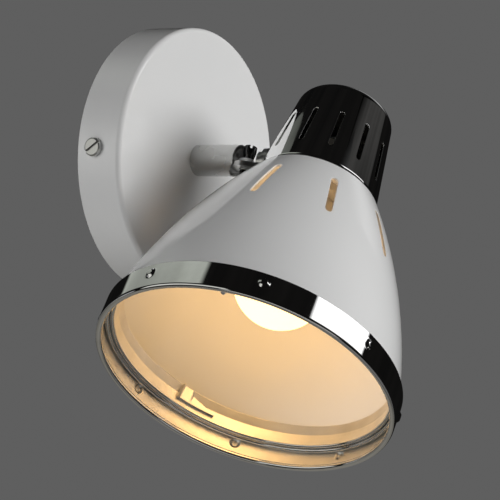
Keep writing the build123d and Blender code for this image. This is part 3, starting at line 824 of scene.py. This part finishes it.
def make_trim_ring():
    draft = Draft(head_frame)

    def outline(along):
        return mouth_radius, along, 1.0, 0.0

    low, high = 2 * ring_lip, ring_height - ring_top_round
    pip = (pip_height, pip_radius, 0)
    half = math.pi / pip_count
    for index in range(pip_count):
        angle = sector_angle(pip_turn, index, pip_count)
        field = Field(Skirt(outline), angle, half, (low, high), pip, (ring_across, ring_along))
        embossed(draft, field, ring_sheet, pip_rise, coat_in=1)
    inner = mouth_radius - ring_sheet
    lip_middle = mouth_radius - ring_lip
    lip_end = math.degrees(math.asin((inner - lip_middle) / ring_lip))
    top_middle = mouth_radius - ring_top_round
    runs = [
        line((mouth_radius, ring_lip), (mouth_radius, low)),
        bend((top_middle, high), ring_top_round, 0, 90, steps=4),
        line((top_middle, ring_height), (inner, ring_height)),
        line((inner, ring_height), (inner, high)),
        line((inner, low), (inner, ring_lip + ring_lip * math.cos(math.radians(lip_end)))),
        bend((lip_middle, ring_lip), ring_lip, 90 - lip_end, 360, steps=24),
    ]
    start = math.degrees(sector_angle(pip_turn, 0, pip_count) - half)
    spun(draft, runs, even(pip_count * ring_across, start))
    draft.piece("mouth_ring", "head", "trim_ring", [chrome_plate, brushed_band])


band_outer = shade_radius(band_top) - shade_wall - seat_gap
band_inner = band_outer - band_sheet


def make_inner_ring():
    draft = Draft(head_frame)
    flange = mouth_radius - ring_sheet - seat_gap
    level = rim_height + inner_bead_lift
    shoulder = rim_height + bead_shoulder
    back = shade_radius(shoulder) - shade_wall - seat_gap
    edge = band_sheet / 2
    top = band_top - edge
    beads = [
        bend((band_inner + inner_bead, level), inner_bead, 180, 360, steps=16),
        line((band_inner + 2 * inner_bead, level), (flange - 2 * rim_bead, rim_height)),
        bend((flange - rim_bead, rim_height), rim_bead, 180, 360, steps=16),
        line((flange, rim_height), (back, rim_height)),
        line((back, rim_height), (back, shoulder)),
        line((back, shoulder), (band_outer, shoulder)),
        line((band_outer, shoulder), (band_outer, band_crease)),
        line((band_outer, band_crease), (band_outer - band_draw, top)),
        bend((band_inner - band_draw + edge, top), edge, 0, 180, steps=10),
    ]
    facets = [
        line((band_inner - band_draw, top), (band_inner, band_crease), steps=3),
        line((band_inner, band_crease), (band_inner, level), steps=3),
    ]
    spun(draft, beads, even(band_segments))
    spun(draft, facets, even(band_segments), coat=1)
    draft.piece("locking_ring", "head", "inner_ring", [chrome_plate, brushed_band])


def round_edges(solid, width):
    """Round the sharp edges of a bmesh in metres, by a width in millimetres."""
    bmesh.ops.remove_doubles(solid, verts=solid.verts, dist=weld_distance * MM)
    flat = math.radians(flat_angle)
    bmesh.ops.dissolve_limit(solid, angle_limit=flat, verts=solid.verts, edges=solid.edges)
    sharp = math.radians(sharp_angle)
    edges = [e for e in solid.edges if e.is_manifold and e.calc_face_angle() > sharp]
    bmesh.ops.bevel(
        solid,
        geom=edges,
        offset=width * MM,
        segments=round_segments,
        profile=0.5,
        affect="EDGES",
        clamp_overlap=True,
    )


def dress(solid, name, body, node, coat):
    """Make a smooth piece of a bmesh whose edges are rounded."""
    mesh = bpy.data.meshes.new(name)
    solid.to_mesh(mesh)
    solid.free()
    mesh.materials.clear()
    mesh.materials.append(coat)
    # Large faces stay flat: each corner's normal is weighed by the areas round it
    leans = [Vector() for _ in mesh.vertices]
    for face in mesh.polygons:
        face.use_smooth = True
        face.material_index = 0
        for corner in face.vertices:
            leans[corner] += face.normal * face.area
    mesh.normals_split_custom_set_from_vertices([lean.normalized() for lean in leans])
    enter(name, mesh, body, node)


def tab_columns():
    """Angle and top of each column of the tongue: level up to the slit, then down to its tip."""
    top = band_top - tab_inset
    slit = tab_start + tab_sweep * slit_share
    end = tab_start + tab_sweep
    columns = [(tab_start + (slit - tab_start) * i / tab_steps, top) for i in range(tab_steps + 1)]
    for i in range(tip_steps + 1):
        t = i / tip_steps
        columns.append((slit + (end - slit) * t, (top - slit_depth) * (1 - t) + (tab_low + tab_tip) * t))
    return columns


def make_lock_tab():
    """The ring's tongue, cut to a point along its slit, and the fin at its free end."""
    solid = bmesh.new()

    def corner(angle, height, radius):
        a = math.radians(90 - angle)
        spot = Vector((radius * math.cos(a), radius * math.sin(a), height))
        return solid.verts.new(head_frame @ spot * MM)

    columns = tab_columns()
    front, back = band_inner - tab_rise, band_inner + band_sheet / 2
    low = [(corner(a, tab_low, front), corner(a, tab_low, back)) for a, _ in columns]
    high = [(corner(a, h, front), corner(a, h, back)) for a, h in columns]
    # The two columns at the slit stand on the same foot
    low[tab_steps + 1] = low[tab_steps]
    for i in range(len(columns) - 1):
        j = i + 1
        if i != tab_steps:
            solid.faces.new((low[i][0], low[j][0], high[j][0], high[i][0]))
            solid.faces.new((high[i][1], high[j][1], low[j][1], low[i][1]))
            solid.faces.new((low[i][1], low[j][1], low[j][0], low[i][0]))
        solid.faces.new((high[i][0], high[j][0], high[j][1], high[i][1]))
    solid.faces.new((low[0][0], high[0][0], high[0][1], low[0][1]))
    solid.faces.new((low[-1][1], high[-1][1], high[-1][0], low[-1][0]))
    top = band_top - tab_inset
    side = ((back, tab_low), (back, top), (band_inner - fin_rise, top), (front, tab_low))
    thick = math.degrees(fin_thickness / band_inner)
    near = [corner(tab_start, h, r) for r, h in side]
    far = [corner(tab_start + thick, h, r) for r, h in side]
    solid.faces.new(near[::-1])
    solid.faces.new(far)
    for i in range(len(side)):
        j = (i + 1) % len(side)
        solid.faces.new((near[i], near[j], far[j], far[i]))
    bmesh.ops.recalc_face_normals(solid, faces=solid.faces)
    round_edges(solid, tab_edge)
    dress(solid, "lock_tab", "head", "inner_ring", brushed_band)


def soften(node, width, slot=None):
    """Stand a copy of a solid in for it, with its edges rounded by a width in millimetres."""
    solid = bmesh.new()
    solid.from_mesh(nodes[node].data)
    solid.transform(nodes[node].matrix_world)
    round_edges(solid, width)
    body = next(b for b, members in frame["record"]["behaviour"]["bodies"].items() if node in members)
    slot = slot or next(p["material_slot"] for p in frame["record"]["subparts"] if p["node"] == node)
    dress(solid, node + "_finished", body, node, finishes[slot])


def make_lamp():
    draft = Draft(head_frame)
    a = math.radians(globe_shoulder)
    join = (globe_radius * math.cos(a), globe_level + globe_radius * math.sin(a))
    # The neck's hollow curve leaves the globe in line with it
    hollow = (join[0] - lamp_neck_radius) / (1 - math.cos(a))
    centre = (join[0] + hollow * math.cos(a), join[1] + hollow * math.sin(a))
    stop = 180 + math.degrees(math.asin((centre[1] - lamp_cap_rim) / hollow))
    runs = [
        bend((0, globe_level), globe_radius, -90, globe_shoulder, steps=40),
        bend(centre, hollow, 180 + globe_shoulder, stop, steps=10),
    ]
    runs.append(line(runs[1][-1][:2], (0, lamp_cap_rim)))
    spun(draft, runs, even(lamp_segments))
    draft.piece("lamp_globe", "head", "bulb_glass", [opal_glass])


def make_canopy():
    draft = Draft(wall_frame)
    outer, inner = canopy_radius, canopy_radius - canopy_sheet
    floor = canopy_depth - canopy_sheet
    in_bend = canopy_edge - canopy_sheet
    corner = (outer - canopy_edge, canopy_depth - canopy_edge)
    runs = [
        line((inner, 0), (outer, 0)),
        line((outer, 0), (outer, corner[1]), steps=4),
        bend(corner, canopy_edge, 0, 90, steps=12),
        line((corner[0], canopy_depth), (stud_hole_radius, canopy_depth), steps=8),
        line((stud_hole_radius, canopy_depth), (stud_hole_radius, floor)),
        line((stud_hole_radius, floor), (corner[0], floor), steps=4),
        bend(corner, in_bend, 90, 0, steps=8),
        line((inner, corner[1]), (inner, 0), steps=2),
    ]
    spun(draft, runs, even(canopy_segments))
    draft.piece("wall_canopy", "base", "canopy", [white_enamel])


make_shade()
make_cap()
make_trim_ring()
make_inner_ring()
make_lock_tab()
make_lamp()
make_canopy()

# The stem reads as satin metal in the photograph
soften("stem_tube", 0.5, "bright_steel")
edge_rounds = {
    "hinge_plug": 0.2,
    "hinge_arm": 0.3,
    "hinge_screw": 0.2,
    "hinge_nut": 0.2,
    "hinge_washers": 0.12,
    "outer_saddle": 0.3,
    "inner_saddle": 0.2,
    "arm_washer": 0.15,
    "arm_nut": 0.2,
    "canopy_screws": 0.25,
    "wall_bracket": 0.3,
    "earth_screw": 0.2,
    "terminal_block": 0.4,
    "terminal_screws": 0.1,
    "block_screw": 0.15,
    "stem_washer": 0.15,
    "stem_nut": 0.2,
    "holder_strap": 0.2,
    "holder_nut": 0.2,
    "lampholder": 0.4,
    "shade_ring_nut": 0.3,
}
for node, width in edge_rounds.items():
    soften(node, width)


# Stage, lights and camera, in metres except for the camera's target

target = Vector((1.88, -56.37, -43.07)) * MM
camera_azimuth = -55.91
camera_elevation = -2.20
camera_roll = 3.36
camera_distance = 1.1604
camera_lens = 172.8        # millimetres, as the sensor
camera_sensor = 36.0
camera_reach = 20.0
light_distance = 1.3
backdrop_grey = 0.114
floor_level = -2.6
floor_width = 20.0
floor_colour = (0.6, 0.6, 0.59)
floor_glow = backdrop_grey / floor_colour[0]


def direction(azimuth, elevation):
    """Unit vector towards an azimuth, 0 being straight out from the wall, and an elevation."""
    a, e = math.radians(azimuth), math.radians(elevation)
    return Vector((math.sin(a) * math.cos(e), -math.cos(a) * math.cos(e), math.sin(e)))


def seat(azimuth, elevation, distance, roll=0.0):
    """Place at a distance from the target that looks back at it."""
    back = direction(azimuth, elevation)
    look = (-back).to_track_quat("-Z", "Y").to_matrix().to_4x4()
    return Matrix.Translation(target + back * distance) @ look @ turn(roll, "Z")


def softbox(name, azimuth, elevation, width, height, power, distance=light_distance):
    """Soft light that doesn't show in reflections."""
    lamp = bpy.data.lights.new(name, "AREA")
    lamp.shape = "RECTANGLE"
    lamp.size = width
    lamp.size_y = height
    lamp.energy = power
    made = bpy.data.objects.new(name, lamp)
    made.matrix_world = seat(azimuth, elevation, distance)
    made.visible_glossy = False
    bpy.context.scene.collection.objects.link(made)


def stage_piece(name, mesh, place, coat):
    """Piece of the stage, which isn't part of the lamp."""
    mesh.materials.append(coat)
    made = bpy.data.objects.new(name, mesh)
    made.matrix_world = place
    bpy.context.scene.collection.objects.link(made)
    return made


def only_reflected(made):
    """Leave a stage piece out of everything but reflections."""
    made.visible_diffuse = False
    made.visible_shadow = False
    made.visible_camera = False


def panel(name, length, width):
    """Mesh of a flat sheet about its middle."""
    x, y = length / 2, width / 2
    mesh = bpy.data.meshes.new(name)
    mesh.from_pydata([(-x, -y, 0), (x, -y, 0), (x, y, 0), (-x, y, 0)], [], [(0, 1, 2, 3)])
    return mesh


def make_floor():
    """Pale floor whose own even light blends it into the backdrop."""
    colour = (*floor_colour, 1)
    coat = Skin("floor").finish(
        Base_Color=colour,
        Roughness=0.9,
        Emission_Color=colour,
        Emission_Strength=floor_glow,
    )
    place = Matrix.Translation((0, 0, floor_level))
    stage_piece("floor", panel("floor", floor_width, floor_width), place, coat)


def card_coat(name, length, blur, brightness, tint, patch):
    """Uneven light that fades at both ends of a card and over a blur to both sides of its length."""
    skin = Skin(name)
    place = skin.place()
    along = skin.add("ShaderNodeSeparateXYZ", {}, {0: place}, "X") * (2 / length)
    across = skin.add("ShaderNodeSeparateXYZ", {}, {0: place}, "Y") * (1 / blur)
    end = 1 - skin.spread(along * along, 0.8, 1.0)
    fade = skin.add("ShaderNodeMath", {"operation": "EXPONENT"}, {0: across * across * -1.0})
    drift = skin.spread(skin.noise(place, scale=patch), 0.3, 0.7, to_low=0.7)
    return skin.glow(skin.blend(end * fade * drift, (0, 0, 0), tint), brightness)


def card(name, azimuth, elevation, length, width, blur, brightness,
         roll=0.0, distance=light_distance, tint=(1, 1, 1), patch=1.6):
    """Panel that only shows in reflections."""
    place = seat(azimuth, elevation, distance, roll)
    coat = card_coat(name, length, blur, brightness, tint, patch)
    only_reflected(stage_piece(name, panel(name, length, width), place, coat))


def make_room(radius, brightness):
    """Dim shell that only shows in reflections."""
    shell = bmesh.new()
    bmesh.ops.create_icosphere(shell, subdivisions=3, radius=radius)
    mesh = bpy.data.meshes.new("room")
    shell.to_mesh(mesh)
    shell.free()
    skin = Skin("room")
    drift = skin.spread(skin.noise(skin.place(), scale=1.2, detail=3.0), 0.3, 0.7)
    coat = skin.glow(skin.blend(drift, (0.5, 0.5, 0.5), (1.0, 0.95, 0.9)), brightness)
    only_reflected(stage_piece("room", mesh, Matrix(), coat))


make_room(radius=4.0, brightness=0.008)
make_floor()
softbox("key", azimuth=23, elevation=22, width=0.8, height=0.6, power=16.6)
softbox("fill", azimuth=-118, elevation=6, width=1.0, height=1.0, power=6.2)
softbox("front", azimuth=-93, elevation=18, width=1.0, height=1.0, power=2.5, distance=1.6)
softbox("edge", azimuth=100, elevation=10, width=0.6, height=0.6, power=4)
softbox("low", azimuth=-100, elevation=-45, width=1.2, height=1.2, power=1.8)
card("key_card", azimuth=22, elevation=30, roll=-41, length=1.02, width=0.9, blur=0.19, brightness=2.5)
card("soft_card", azimuth=47, elevation=35, roll=-41, length=1.2, width=0.8, blur=0.15, brightness=0.06,
     tint=(1.0, 0.98, 0.95), patch=9.0)
card("edge_card", azimuth=94, elevation=31, length=0.8, width=0.6, blur=0.17, brightness=0.5)
card("front_card", azimuth=-56, elevation=-30, length=1.8, width=0.5, blur=0.12, brightness=1.1,
     tint=(1.0, 0.98, 0.93))
card("left_card", azimuth=-171, elevation=45, roll=40, length=1.75, width=0.6, blur=0.24, brightness=0.54,
     tint=(0.95, 1.0, 0.9))
card("side_card", azimuth=-112, elevation=4, length=1.5, width=0.9, blur=0.35, brightness=1.0,
     tint=(1.0, 1.0, 0.94))
card("back_card", azimuth=180, elevation=-14, length=1.8, width=0.6, blur=0.18, brightness=0.6)
card("low_card", azimuth=158, elevation=-58, distance=0.8, length=1.8, width=1.8, blur=0.8, brightness=0.24,
     tint=(1.0, 0.96, 0.85))

scene = bpy.context.scene
scene.view_settings.view_transform = "Standard"
scene.world = bpy.data.worlds.new("studio")
scene.world.use_nodes = True
backdrop = scene.world.node_tree.nodes["Background"].inputs["Color"]
backdrop.default_value = (backdrop_grey, backdrop_grey, backdrop_grey, 1)
scene.world.cycles_visibility.glossy = False
scene.world.cycles_visibility.diffuse = False
lens = bpy.data.cameras.new("camera")
lens.lens = camera_lens
lens.sensor_width = camera_sensor
lens.clip_end = camera_reach
camera = bpy.data.objects.new("camera", lens)
camera.matrix_world = seat(camera_azimuth, camera_elevation, camera_distance, camera_roll)
scene.collection.objects.link(camera)
scene.camera = camera
